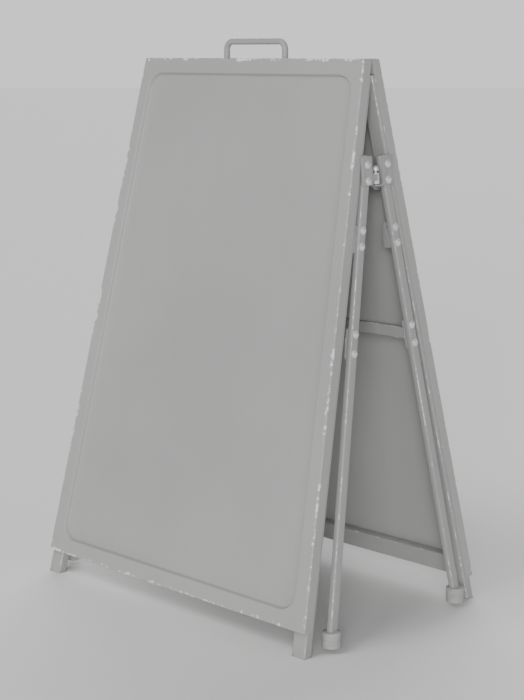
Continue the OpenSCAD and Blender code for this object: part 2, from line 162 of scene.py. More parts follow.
def bumpTo(tree, shader, layers):
    below = None
    for height, strength, distance in layers:
        bump = addNode(tree, "ShaderNodeBump", {"Strength": strength, "Distance": distance})
        tree.links.new(height, bump.inputs["Height"])
        if below:
            tree.links.new(below, bump.inputs["Normal"])
        below = bump.outputs["Normal"]
    tree.links.new(below, shader.inputs["Normal"])


def dustNearGround(tree, coords, height, noise, low, high):
    # thicker towards the ground, broken up by noise
    place = addNode(tree, "ShaderNodeSeparateXYZ")
    tree.links.new(coords, place.inputs[0])
    near = remap(tree, place.outputs["Z"], height, 0.0, smooth=True)
    return mathOf(tree, "MULTIPLY", near, remap(tree, noiseOn(tree, coords, *noise), low, high))


dustColour = (0.40, 0.39, 0.37)
coat = {
    "panelColour": (0.345, 0.345, 0.340), "frameColour": (0.315, 0.315, 0.312), "chipColour": (0.70, 0.70, 0.69),
    "roughness": 0.41, "roughPatchScale": 12, "specular": 0.42,
    "cloudScale": 3.2, "streakScale": 16, "streakStretch": (2.6, 2.6, 0.18), "streakAmount": 0.35, "speckScale": 900,
    "dustHeight": 0.13, "dustScale": 34, "dustAmount": 0.45,
    "chipAmount": 0.525, "chipEdge": 0.05, "biteScale": 120, "longBiteScale": 30, "chipDepth": 0.00025,
    "peelScale": 520.0, "peelStrength": 0.10, "peelDepth": 0.0006,
}


def powderCoat(name, colour):
    # matte powder coat: orange peel, faint clouds, chips where the wear attribute is painted, dust near the ground
    material, tree, shader, coords = startMaterial(name)
    clouds = remap(tree, noiseOn(tree, coords, coat["cloudScale"], 3), 0.3, 0.7)
    base = mixColours(tree, clouds, shade(colour, 0.93), shade(colour, 1.045))
    streaks = remap(tree, noiseOn(tree, coords, coat["streakScale"], 4, 0.6, coat["streakStretch"]), 0.35, 0.75)
    base = mixColours(tree, mathOf(tree, "MULTIPLY", streaks, coat["streakAmount"]), base, shade(colour, 0.97))
    specks = remap(tree, noiseOn(tree, coords, coat["speckScale"], 1), 0.72, 0.78, 0.0, 0.25)
    base = mixColours(tree, specks, base, shade(colour, 0.80))
    dust = dustNearGround(tree, coords, coat["dustHeight"], (coat["dustScale"], 5, 0.62), 0.38, 0.72)
    base = mixColours(tree, mathOf(tree, "MULTIPLY", dust, coat["dustAmount"]), base, dustColour)

    wear = addNode(tree, "ShaderNodeAttribute", attribute_name="wear", attribute_type="GEOMETRY").outputs["Fac"]
    bites = mathOf(tree, "MULTIPLY", noiseOn(tree, coords, coat["biteScale"], 4, 0.6), 0.6)
    longBites = mathOf(tree, "MULTIPLY", noiseOn(tree, coords, coat["longBiteScale"], 2, 0.5, (1.0, 1.0, 0.6)), 0.4)
    edge = mathOf(tree, "MULTIPLY", wear, mathOf(tree, "ADD", bites, longBites))
    chips = remap(tree, edge, coat["chipAmount"], coat["chipAmount"] + coat["chipEdge"])
    base = mixColours(tree, chips, base, coat["chipColour"])
    tree.links.new(base, shader.inputs["Base Color"])

    patches = noiseOn(tree, coords, coat["roughPatchScale"], 3)
    rough = remap(tree, patches, 0.3, 0.7, coat["roughness"] - 0.05, coat["roughness"] + 0.07)
    rough = mathOf(tree, "ADD", rough, mathOf(tree, "MULTIPLY", dust, 0.18))
    tree.links.new(rough, shader.inputs["Roughness"])
    shader.inputs["Specular IOR Level"].default_value = coat["specular"]
    peel = noiseOn(tree, coords, coat["peelScale"], 2.5)
    bumpTo(tree, shader, [
        (peel, coat["peelStrength"], coat["peelDepth"]),
        (mathOf(tree, "SUBTRACT", 1.0, chips), 0.35, coat["chipDepth"])])
    return material


plate = {"spangleScale": 420.0, "dullScale": 60, "dullAmount": 0.5, "dullRough": 0.22, "metallic": 0.55,
         "scratchScale": 1400, "scratchStretch": (0.25, 1, 1), "scratchDepth": 0.0002}


def platedSteel(name, colour, roughness):
    # zinc plate: soft spangle, fine drawn scratches, duller patches
    material, tree, shader, coords = startMaterial(name)
    spangle = addNode(tree, "ShaderNodeTexVoronoi", {"Scale": plate["spangleScale"], "Randomness": 1.0})
    tree.links.new(coords, spangle.inputs["Vector"])
    tone = addNode(tree, "ShaderNodeSeparateColor")
    tree.links.new(spangle.outputs["Color"], tone.inputs[0])
    base = mixColours(tree, remap(tree, tone.outputs["Red"], 0, 1), shade(colour, 0.92), shade(colour, 1.05))
    dull = remap(tree, noiseOn(tree, coords, plate["dullScale"], 4, 0.6), 0.42, 0.70)
    base = mixColours(tree, mathOf(tree, "MULTIPLY", dull, plate["dullAmount"]), base, shade(colour, 0.72))
    tree.links.new(base, shader.inputs["Base Color"])
    tree.links.new(remap(tree, dull, 0, 1, roughness, roughness + plate["dullRough"]), shader.inputs["Roughness"])
    shader.inputs["Metallic"].default_value = plate["metallic"]
    scratches = noiseOn(tree, coords, plate["scratchScale"], 2, 0.5, plate["scratchStretch"])
    bumpTo(tree, shader, [(scratches, 0.10, plate["scratchDepth"])])
    return material


moulded = {"patchScale": 40, "dustHeight": 0.022, "dustScale": 120, "dustAmount": 0.7, "specular": 0.35,
           "grainStrength": 0.18, "grainDepth": 0.0003}


def mouldedPlastic(name, colour, roughness, grain):
    # moulded plastic or rubber: fine grain, scuffed and dusty low down
    material, tree, shader, coords = startMaterial(name)
    patches = remap(tree, noiseOn(tree, coords, moulded["patchScale"], 4, 0.6), 0.35, 0.7)
    base = mixColours(tree, patches, shade(colour, 0.90), shade(colour, 1.10))
    dust = dustNearGround(tree, coords, moulded["dustHeight"], (moulded["dustScale"], 5, 0.65), 0.35, 0.65)
    base = mixColours(tree, mathOf(tree, "MULTIPLY", dust, moulded["dustAmount"]), base, dustColour)
    tree.links.new(base, shader.inputs["Base Color"])
    tree.links.new(remap(tree, patches, 0, 1, roughness - 0.05, roughness + 0.08), shader.inputs["Roughness"])
    shader.inputs["Specular IOR Level"].default_value = moulded["specular"]
    bumpTo(tree, shader, [(noiseOn(tree, coords, grain, 3), moulded["grainStrength"], moulded["grainDepth"])])
    return material


panelCoat = powderCoat("panelCoat", coat["panelColour"])
frameCoat = powderCoat("frameCoat", coat["frameColour"])
zincSteel = platedSteel("zincSteel", (0.74, 0.75, 0.76), 0.40)
plugPlastic = mouldedPlastic("plugPlastic", (0.30, 0.30, 0.30), 0.52, 900)
capRubber = mouldedPlastic("capRubber", (0.36, 0.36, 0.355), 0.66, 1400)
bushNylon = mouldedPlastic("bushNylon", (0.62, 0.60, 0.55), 0.45, 1200)
print("materials made")


# how pieces are made
def rightWay(x, y):
    # which copy: x -1 is the left side, y -1 is the back half
    return Matrix.Diagonal((x, y, 1, 1))


def flipped(x, y=1):
    return Matrix.Diagonal((x, y, 1))


def bodyOf(y):
    return "front_half" if y > 0 else "back_half"


def placed(name, data):
    piece = bpy.data.objects.new(name, data)
    bpy.context.scene.collection.objects.link(piece)
    return piece


def finishPiece(name, mesh, body, material, replaced=(), sharp=32):
    piece = placed(name, mesh)
    mesh.materials.clear()
    mesh.materials.append(material)
    mesh.polygons.foreach_set("use_smooth", [True] * len(mesh.polygons))
    mesh.set_sharp_from_angle(angle=radians(sharp))
    if replaced:
        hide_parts(*replaced)
    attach(piece, body)
    return piece


def meshFrom(bm, name, x=1, y=1):
    bm.transform(rightWay(x, y))
    bmesh.ops.remove_doubles(bm, verts=bm.verts, dist=1e-6)
    bmesh.ops.recalc_face_normals(bm, faces=bm.faces)
    mesh = bpy.data.meshes.new(name)
    bm.to_mesh(mesh)
    bm.free()
    return mesh


def appliedMesh(piece):
    # the piece's modifiers as plain mesh; the working piece itself goes
    made = bpy.data.meshes.new_from_object(piece.evaluated_get(bpy.context.evaluated_depsgraph_get()))
    working = piece.data
    bpy.data.objects.remove(piece)
    bpy.data.meshes.remove(working)
    return made


def roundedRect(width, depth, radius, steps=5):
    outline = []
    for cx, cy, start in ((1, 1, 0), (-1, 1, 90), (-1, -1, 180), (1, -1, 270)):
        for k in range(steps + 1):
            a = radians(start + 90 * k / steps)
            outline.append((cx * (width / 2 - radius) + radius * cos(a),
                            cy * (depth / 2 - radius) + radius * sin(a)))
    return outline


def addPrism(bm, origin, u, v, along, size, radius, planeA, planeB, wall=0.0, edge=0.0006, cap=0.0):
    # a rounded bar or tube along one way, its ends cut on two planes given as (point, normal), edges eased;
    # a tube with a cap is closed at its first end; paint wear runs along its rounded corners
    wearLayer = bm.verts.layers.float.get("wear") or bm.verts.layers.float.new("wear")

    def loop(width, depth, r, plane, back, steps=5):
        made = []
        for k, (x, y) in enumerate(roundedRect(width, depth, r, steps)):
            start = origin + u * x + v * y
            t = (plane[0] - start).dot(plane[1]) / along.dot(plane[1])
            vert = bm.verts.new(start + along * (t + back))
            vert[wearLayer] = min(1.0, 1.6 * (1 - abs(2 * (k % (steps + 1)) / steps - 1)))
            made.append(vert)
        return made

    w, d = size
    ended = (w - 2 * edge, d - 2 * edge, max(radius - edge, 2e-4))
    loops = [loop(*ended, planeA, 0), loop(w, d, radius, planeA, edge),
             loop(w, d, radius, planeB, -edge), loop(*ended, planeB, 0)]
    if wall:
        inner = (w - 2 * wall, d - 2 * wall, max(radius - wall, 3e-4))
        loops += [loop(*inner, planeB, 0), loop(*inner, planeA, cap)]
    for a, b in zip(loops, loops[1:]):
        for k in range(len(a)):
            bm.faces.new((a[k - 1], a[k], b[k], b[k - 1]))
    bm.faces.new(loops[0])
    bm.faces.new(loops[-1])


def addLathe(bm, place, profile, steps=40):
    # turns (radius, height) pairs round the place matrix's Z; a profile that ends off the axis closes on itself
    rings = []
    for r, z in profile:
        if r < 1e-7:
            rings.append([bm.verts.new(place @ Vector((0, 0, z)))])
        else:
            turns = [2 * pi * k / steps for k in range(steps)]
            rings.append([bm.verts.new(place @ Vector((r * cos(a), r * sin(a), z))) for a in turns])
    pairs = list(zip(rings, rings[1:]))
    if len(rings[0]) > 1:
        pairs.append((rings[-1], rings[0]))
    for a, b in pairs:
        for k in range(steps):
            if len(a) == 1:
                bm.faces.new((a[0], b[k], b[k - 1]))
            elif len(b) == 1:
                bm.faces.new((a[k - 1], a[k], b[0]))
            else:
                bm.faces.new((a[k - 1], a[k], b[k], b[k - 1]))


easing = {"mergeGap": 2e-6, "flatAngle": 1.0, "edgeAngle": 35, "segments": 2}


def easedCopy(node, name, body, material, width):
    # a CAD node with its machined edges eased
    bm = bmesh.new()
    bm.from_mesh(cadNodes[node].data)
    bmesh.ops.remove_doubles(bm, verts=bm.verts, dist=easing["mergeGap"])
    bmesh.ops.dissolve_limit(bm, angle_limit=radians(easing["flatAngle"]), verts=bm.verts, edges=bm.edges)
    mesh = bpy.data.meshes.new(name)
    bm.to_mesh(mesh)
    bm.free()
    piece = placed(name + "Working", mesh)
    bevel = piece.modifiers.new("easedEdges", "BEVEL")
    bevel.width = width
    bevel.segments = easing["segments"]
    bevel.limit_method = "ANGLE"
    bevel.angle_limit = radians(easing["edgeAngle"])
    bevel.use_clamp_overlap = True
    return finishPiece(name, appliedMesh(piece), body, material, (node,))


# pressed panels
sheet = {
    "recessDepth": 0.006, "recessRadius": 0.030, "borderTop": 0.024, "borderBottom": 0.025,
    "borderSideTop": 0.018, "borderSideBottom": 0.028, "bend": 0.0018, "cornerRadius": 0.0026, "pressRun": 0.0042,
    "arcSteps": 9, "sideSteps": 22, "pressSteps": 9, "topSteps": 26, "notchSteps": 8,
    "notch": 0.0054, "notchAt": 0.066, "notchClear": 0.009,         # the notches that let the handle's posts through
    "oilCan": 0.00035, "oilCanWaves": (17, 11), "oilCanReach": 0.26,
    "middle": (0.48, 0.52), "middleRadius": 0.023,                  # where the field's rings shrink to
    "fieldRings": (0.10, 0.30, 0.50, 0.68, 0.84, 0.95),
    "borderRings": ((0.12, 0.0), (0.55, 0.50), (0.80, 0.93)),       # how far out, and paint wear
    "foldRows": ((0.09, 0.85), (0.345, 0.6), (0.97, 0.3), (1.0, 0.9)),
    "topEnd": 0.012,                                                # where the sides start to follow the top strip
}


def ringPoints(corners, radius, topCuts):
    # a rounded ring from four corner circles: right side, top, left side, bottom; each point with its side
    (xt, zt), (xb, zb) = corners
    tilt = atan((xb - xt) / (zt - zb))
    steps, arc = sheet["sideSteps"], sheet["arcSteps"]
    points = []

    def addArc(cx, cz, start, end, sideA, sideB):
        for k in range(arc + 1):
            a = start + (end - start) * k / arc
            points.append((cx + radius * cos(a), cz + radius * sin(a), sideA if k * 2 < arc else sideB))

    def addLine(a, b, shares, side):
        for s in shares:
            points.append((a[0] + (b[0] - a[0]) * s, a[1] + (b[1] - a[1]) * s, side))

    even = [k / steps for k in range(1, steps)]
    out, lift = radius * cos(tilt), radius * sin(tilt)
    addArc(xb, zb, -pi / 2, tilt, "bottom", "right")
    addLine((xb + out, zb + lift), (xt + out, zt + lift), even, "right")
    addArc(xt, zt, tilt, pi / 2, "right", "top")
    addLine((xt, zt + radius), (-xt, zt + radius), topCuts, "top")
    addArc(-xt, zt, pi / 2, pi - tilt, "top", "left")
    addLine((-xt - out, zt + lift), (-xb - out, zb + lift), even, "left")
    addArc(-xb, zb, pi - tilt, 3 * pi / 2, "left", "bottom")
    addLine((-xb, zb - radius), (xb, zb - radius), even, "bottom")
    return points


def blendCorners(a, b, t):
    return tuple((p[0] + (q[0] - p[0]) * t, p[1] + (q[1] - p[1]) * t) for p, q in zip(a, b))


def sheetMesh(name, y):
    length = board["panelLength"]
    rimR = sheet["recessRadius"]
    rim = ((halfWidth(sheet["borderTop"]) - sheet["borderSideTop"] - rimR, -sheet["borderTop"] - rimR),
           (halfWidth(length - sheet["borderBottom"]) - sheet["borderSideBottom"] - rimR,
            -length + sheet["borderBottom"] + rimR))
    r0 = sheet["cornerRadius"]
    outer = ((halfWidth(r0) - r0, -r0), (halfWidth(length - r0) - r0, -length + r0))
    middle = tuple((0.0, -length * share) for share in sheet["middle"])

    # cuts along the top edge, close together round the notches
    wide = outer[0][0]
    posts = (sheet["notchAt"], -sheet["notchAt"])
    notchXs = [sheet["notch"] * cos(pi * k / sheet["notchSteps"]) for k in range(sheet["notchSteps"] + 1)]
    cuts = {round((wide - (post + x)) / (2 * wide), 6) for post in posts for x in notchXs}
    for k in range(1, sheet["topSteps"]):
        x = wide - 2 * wide * k / sheet["topSteps"]
        if all(abs(x - post) > sheet["notchClear"] for post in posts):
            cuts.add(round(k / sheet["topSteps"], 6))
    cuts = sorted(cuts)

    rings = []          # (points, depth, wear), from the middle of the field outward
    for share in sheet["fieldRings"]:
        corners = blendCorners(middle, rim, share)
        rings.append((ringPoints(corners, sheet["middleRadius"] * share, cuts), sheet["recessDepth"], 0.0))
    for k in range(sheet["pressSteps"] + 1):
        t = k / sheet["pressSteps"]
        inset = sheet["pressRun"] * (1 - t)
        depth = sheet["recessDepth"] * (1 - t * t * (3 - 2 * t))
        rings.append((ringPoints(rim, rimR - inset, cuts), depth, 0.8 if 0.6 < t < 0.95 else 0.0))
    bend = sheet["bend"]
    for share, wear in sheet["borderRings"]:
        radius = rimR * (1 - share) + r0 * share
        rings.append((ringPoints(blendCorners(rim, outer, share), radius, cuts), 0.0, wear))
    rings.append((ringPoints(outer, r0 - bend - 0.0006, cuts), 0.0, 1.0))
    for angle in (0, 22.5, 45, 67.5, 90):
        a = radians(angle)
        rings.append((ringPoints(outer, r0 - bend * (1 - sin(a)), cuts), bend * (1 - cos(a)), 1.0))

    bm = bmesh.new()
    wearLayer = bm.verts.layers.float.new("wear")
    rows = []
    count = len(rings[0][0])
    waveX, waveZ = sheet["oilCanWaves"]
    for points, depth, wear in rings:
        row = []
        for x, z, side in points:
            sunk = depth
            if depth == sheet["recessDepth"]:       # the thin field isn't quite flat
                fade = min(1.0, max(0.0, 1 - abs(x) / sheet["oilCanReach"]))
                sunk += sheet["oilCan"] * sin(x * waveX + 0.6) * sin(z * waveZ + 1.1) * fade
            vert = bm.verts.new(onPanel(x, sunk, z))
            vert[wearLayer] = wear
            row.append(vert)
        rows.append(row)

    # top edge: ease the bend over to the level strip
    crown = bend * tan(board["lean"]) * 0.5
    last = rings[-1][0]

    def foldRow(fraction, wear):
        # one row of the folded sides; the bottom fold is short
        row = []
        for k, (x, z, side) in enumerate(last):
            start = rows[len(rings) - 1][k].co
            if side == "top":
                reach = (-board["meetingGap"] - start.y) * fraction
                near = min(abs(x - sheet["notchAt"]), abs(x + sheet["notchAt"]))
                if near < sheet["notch"]:
                    reach -= sqrt(sheet["notch"] ** 2 - near ** 2) * fraction
                place = start + Vector((0, reach, crown * min(1, fraction * 3)))
            elif side == "bottom":
                place = start + depthWay * (sheet["recessDepth"] - bend) * min(1.0, fraction * 2.9)
            else:
                full = board["flangeDepth"] - bend
                place = start + depthWay * full * fraction
                up = max(0.0, 1 + z / sheet["topEnd"])      # near the top the side follows the level strip
                place += upSlope * full * fraction * tan(board["lean"]) * up
                place.y = min(place.y, -board["meetingGap"])
            vert = bm.verts.new(place)
            vert[wearLayer] = wear
            row.append(vert)
        return row

    for fraction, wear in sheet["foldRows"]:
        rows.append(foldRow(fraction, wear))
    folded = len(rings) + 2         # the bottom fold ends here, and the sides and the top go on
    for n, (a, b) in enumerate(zip(rows, rows[1:])):
        for k in range(count):
            if n + 1 >= folded and "bottom" in (last[k][2], last[k - 1][2]):
                continue
            bm.faces.new((a[k - 1], a[k], b[k], b[k - 1]))
    centre = bm.verts.new(onPanel(0, sheet["recessDepth"], -length / 2))
    for k in range(count):
        bm.faces.new((rows[0][k], rows[0][k - 1], centre))
    loose = [v for v in bm.verts if not v.link_faces]
    bmesh.ops.delete(bm, geom=loose, context="VERTS")
    bm.transform(rightWay(1, y))
    bmesh.ops.recalc_face_normals(bm, faces=bm.faces)
    bm.faces.ensure_lookup_table()
    if bm.faces[-1].normal.dot(Vector((0, -y, 0))) < 0:
        bmesh.ops.reverse_faces(bm, faces=bm.faces)
    mesh = bpy.data.meshes.new(name)
    bm.to_mesh(mesh)
    bm.free()
    return mesh


def makeSheet(name, y):
    piece = placed(name + "Blank", sheetMesh(name, y))
    solid = piece.modifiers.new("thickness", "SOLIDIFY")
    solid.thickness = board["sheetThickness"]
    solid.offset = -1
    solid.use_even_offset = False
    return finishPiece(name, appliedMesh(piece), bodyOf(y), panelCoat,
                       ("front_sheet" if y > 0 else "back_sheet",), 40)


for sheetName, sheetY in (("frontSheet", 1), ("backSheet", -1)):
    made = makeSheet(sheetName, sheetY)
    print(sheetName, "made:", len(made.data.polygons), "faces")


# tubes of the outer frame and the inner legs
tubes = {
    "stileRadius": 0.0028, "stileTopDown": 0.0213, "stileCap": 0.006, "stileMeeting": 0.0003, "plugLip": 0.002,
    "railRadius": 0.0028, "railTop": 0.8215, "railBottom": 0.8535, "railEase": 0.0004, "railAir": 0.0001,
    "legRadius": 0.0028, "legEnd": 0.012, "legEase": 0.0008,
    "barHeight": 0.018, "barDepth": 0.012, "barZ": 0.456, "barRadius": 0.0024, "barEase": 0.0003,
    "endPlateHeight": 0.046, "endPlateRadius": 0.003, "plate": 0.003,
}
upright = Vector((0, 0, 1))
backward = Vector((0, 1, 0))
panelCorner = onPanel(board["topWidth"] / 2, 0, 0)
stileMiddle = board["stileStart"] + board["stileDepth"] / 2
railCentre = onPanel(0, stileMiddle, -(tubes["railTop"] + tubes["railBottom"]) / 2)
railSize = (board["stileDepth"], tubes["railBottom"] - tubes["railTop"])
barCentre = Vector((0, legY(tubes["barZ"]), tubes["barZ"]))
plateIn = onSide(-board["legWidth"] / 2 - tubes["plate"], 0, sideHeight(tubes["barZ"]))
sides = (("Left", "left", -1), ("Right", "right", 1))
halves = (("front", 1), ("back", -1))

for half, y in halves:
    for sideName, sideWord, x in sides:
        bm = bmesh.new()
        centre = (panelCorner + stileAcross * (-board["sheetThickness"] - board["stileWidth"] / 2)
                  + depthWay * stileMiddle)
        addPrism(bm, centre, stileAcross, depthWay, -stileUp, (board["stileWidth"], board["stileDepth"]),
                 tubes["stileRadius"], (centre - stileUp * tubes["stileTopDown"], stileUp),
                 (upright * tubes["plugLip"], upright), board["tubeWall"], cap=tubes["stileCap"])
        everything = bm.verts[:] + bm.edges[:] + bm.faces[:]        # cut just short of the middle plane
        cutEdges = bmesh.ops.bisect_plane(bm, geom=everything, plane_co=(0, -tubes["stileMeeting"], 0),
                                          plane_no=(0, 1, 0), clear_outer=True)["geom_cut"]
        bmesh.ops.contextual_create(bm, geom=[e for e in cutEdges if isinstance(e, bmesh.types.BMEdge)])
        name = half + sideName + "Stile"
        finishPiece(name, meshFrom(bm, name, x, y), bodyOf(y), frameCoat, (f"{half}_{sideWord}_stile",))

        bm = bmesh.new()
        centre = onSide(0, -legOffset, 0)
        addPrism(bm, centre, sideOut, legDepthWay, -legUp, (board["legWidth"], board["legDepth"]),
                 tubes["legRadius"], (centre + legUp * board["legAbove"], legUp),
                 (upright * tubes["legEnd"], upright), edge=tubes["legEase"])
        name = half + sideName + "Leg"
        finishPiece(name, meshFrom(bm, name, x, y), bodyOf(y), frameCoat,
                    (f"{half}_{sideWord}_inner_leg",))

    bm = bmesh.new()
    inner = panelCorner - stileAcross * (board["sheetThickness"] + board["stileWidth"] + tubes["railAir"])
    addPrism(bm, railCentre, depthWay, upSlope, across, railSize, tubes["railRadius"],
             (flipped(-1) @ inner, flipped(-1) @ stileAcross), (inner, stileAcross), edge=tubes["railEase"])
    finishPiece(half + "BottomRail", meshFrom(bm, half + "BottomRail", 1, y), bodyOf(y),
                frameCoat, (f"{half}_bottom_rail",))

    # cross bar with an end plate against each inner leg
    bm = bmesh.new()
    addPrism(bm, barCentre, backward, upright, across, (tubes["barDepth"], tubes["barHeight"]), tubes["barRadius"],
             (flipped(-1) @ plateIn, flipped(-1) @ sideOut), (plateIn, sideOut), edge=tubes["barEase"])
    for x in (1, -1):
        mirror = flipped(x)
        centre = onSide(0, legY(tubes["barZ"]), sideHeight(tubes["barZ"]))
        addPrism(bm, mirror @ centre, mirror @ legDepthWay, mirror @ legUp, mirror @ sideOut,
                 (board["legDepth"], tubes["endPlateHeight"]), tubes["endPlateRadius"],
                 (mirror @ plateIn, mirror @ sideOut),
                 (mirror @ (plateIn + sideOut * tubes["plate"]), mirror @ sideOut), edge=tubes["railEase"])
    finishPiece(half + "CrossBar", meshFrom(bm, half + "CrossBar", 1, y), bodyOf(y),
                frameCoat, (f"{half}_crossbar",))
print("frame tubes made")

# foot caps
footCap = {"radius": 0.015, "height": 0.025, "clear": 0.008, "lip": 0.0007, "ribs": 4, "ribStart": 0.0052,
           "ribSpacing": 0.0024, "steps": 56}


def capProfile():
    r, h, lip = footCap["radius"], footCap["height"], footCap["lip"]
    profile = [(0, 0.0008), (r * 0.55, 0.0008), (r * 0.62, 0), (r - 0.0026, 0), (r - 0.0011, 0.0004),
               (r - 0.0003, 0.0013), (r, 0.0026)]
    for k in range(footCap["ribs"]):                      # shallow grip rings above the tread
        z = footCap["ribStart"] + k * footCap["ribSpacing"]
        profile += [(r - 0.0001, z - 0.0006), (r - 0.0006, z), (r - 0.0001, z + 0.0006)]
    profile += [(r - lip * 0.5, h - 0.0062), (r - lip * 0.6, h - 0.0050), (r - lip * 0.2, h - 0.0044),
                (r, h - 0.0030), (r - lip * 0.3, h - 0.0013), (r - 0.0010, h - 0.0004), (r - 0.0022, h), (0, h)]
    return profile


capMiddle = footCap["clear"] + footCap["height"] / 2
for half, y in halves:
    for sideName, sideWord, x in sides:
        bm = bmesh.new()
        foot = Matrix.Translation((legCentreX(capMiddle), legY(capMiddle), footCap["clear"]))
        addLathe(bm, foot, capProfile(), footCap["steps"])
        name = half + sideName + "FootCap"
        finishPiece(name, meshFrom(bm, name, x, y), bodyOf(y), capRubber,
                    (f"{half}_{sideWord}_foot_cap",), 50)

# handle: one bent rod, its posts bored on the hinge rod
handle = {"width": 0.132, "rise": 0.031, "corner": 0.013, "rod": 0.005, "steps": 28, "bendSteps": 10,
          "postHeights": (0.0065, 0.08), "bendLead": 0.01, "gripXs": (-0.03, 0, 0.03),
          "bossRadius": 0.009, "bossLength": 0.018, "bossEase": 0.0008, "boreAir": 0.00003}


def addRod(bm, path, radius, steps):
    rings = []
    turns = [2 * pi * n / steps for n in range(steps)]
    for k, point in enumerate(path):
        way = (path[min(k + 1, len(path) - 1)] - path[max(k - 1, 0)]).normalized()
        other = way.cross(backward)
        rings.append([bm.verts.new(point + (backward * cos(a) + other * sin(a)) * radius) for a in turns])
    for a, b in zip(rings, rings[1:]):
        for n in range(steps):
            bm.faces.new((a[n - 1], a[n], b[n], b[n - 1]))
    bm.faces.new(rings[0])
    bm.faces.new(rings[-1])


bm = bmesh.new()
postX = handle["width"] / 2
top = topZ + handle["rise"] - handle["rod"]
corner = handle["corner"]
leftPost = [Vector((-postX, 0, z)) for z in (*(hingeZ + up for up in handle["postHeights"]),
                                             top - corner - handle["bendLead"])]
for k in range(handle["bendSteps"] + 1):
    a = pi / 2 * k / handle["bendSteps"]
    leftPost.append(Vector((-postX + corner - corner * cos(a), 0, top - corner + corner * sin(a))))
grip = [Vector((x, 0, top)) for x in handle["gripXs"]]
rightPost = [flipped(-1) @ point for point in reversed(leftPost)]
addRod(bm, leftPost + grip + rightPost, handle["rod"], handle["steps"])
ringR, ringL = handle["bossRadius"], handle["bossLength"] / 2
bore, ease = handle["rod"] + handle["boreAir"], handle["bossEase"]
for x in (-1, 1):
    turned = Matrix.Translation((x * postX, 0, hingeZ)) @ Matrix.Rotation(radians(90), 4, "Y")
    addLathe(bm, turned, [(bore, -ringL), (ringR - ease, -ringL), (ringR, -ringL + ease),
                          (ringR, ringL - ease), (ringR - ease, ringL), (bore, ringL)])
finishPiece("handleLoop", meshFrom(bm, "handleLoop"), "front_half", frameCoat, ("handle",), 40)
print("caps and handle made")

# pieces that keep their CAD shapes, with eased edges
eased = (
    ("top_rail", "TopRail", "frame_coat", frameCoat, 0.0005),
    ("leg_plugs", "LegPlugs", "plug_plastic", plugPlastic, 0.0005),
    ("standoffs", "Standoffs", "frame_coat", frameCoat, 0.0006),
    ("left_lug", "LeftLug", "frame_coat", frameCoat, 0.0004),
    ("right_lug", "RightLug", "frame_coat", frameCoat, 0.0004),
    ("left_lock_plate", "LeftLockPlate", "frame_coat", frameCoat, 0.0006),
    ("right_lock_plate", "RightLockPlate", "frame_coat", frameCoat, 0.0006),
)
for half, y in halves:
    for node, word, slotName, material, width in eased:
        easedCopy(f"{half}_{node}", half + word, bodyOf(y), material, width)
for node, name, body, slotName, material, width in (
        ("hinge_rod", "hingeRod", "front_half", "zinc_steel", zincSteel, 0.0008),
        ("rod_collars", "rodCollars", "front_half", "zinc_steel", zincSteel, 0.0006),
        ("rod_bushes", "rodBushes", "back_half", "bush_nylon", bushNylon, 0.0003),
        ("left_lock_barrel", "leftLockBarrel", "front_half", "zinc_steel", zincSteel, 0.0006),
        ("right_lock_barrel", "rightLockBarrel", "front_half", "zinc_steel", zincSteel, 0.0006),
        ("left_lock_pin", "leftLockPin", "left_lock", "zinc_steel", zincSteel, 0.0004),
        ("right_lock_pin", "rightLockPin", "right_lock", "zinc_steel", zincSteel, 0.0004)):
    easedCopy(node, name, body, material, width)
print("eased parts made")


# geometry node trees
def newTree(name, inputs):
    tree = bpy.data.node_groups.new(name, "GeometryNodeTree")
    tree.interface.new_socket("Geometry", in_out="INPUT", socket_type="NodeSocketGeometry")
    for label, kind in inputs:
        tree.interface.new_socket(label, in_out="INPUT", socket_type=kind)
    tree.interface.new_socket("Geometry", in_out="OUTPUT", socket_type="NodeSocketGeometry")
    return tree, addNode(tree, "NodeGroupInput"), addNode(tree, "NodeGroupOutput")


def runTree(name, mesh, tree, values):
    piece = placed(name + "Points", mesh)
    modifier = piece.modifiers.new(name, "NODES")
    modifier.node_group = tree
    for item in tree.interface.items_tree:
        if item.in_out == "INPUT" and item.name in values:
            modifier[item.identifier] = values[item.name]
    return appliedMesh(piece)


def finishTree(tree, geometry, finish, out):
    # every tree ends in real geometry with its material
    real = addNode(tree, "GeometryNodeRealizeInstances")
    tree.links.new(geometry, real.inputs[0])
    coated = addNode(tree, "GeometryNodeSetMaterial")
    tree.links.new(real.outputs[0], coated.inputs["Geometry"])
    tree.links.new(finish, coated.inputs["Material"])
    tree.links.new(coated.outputs[0], out.inputs[0])


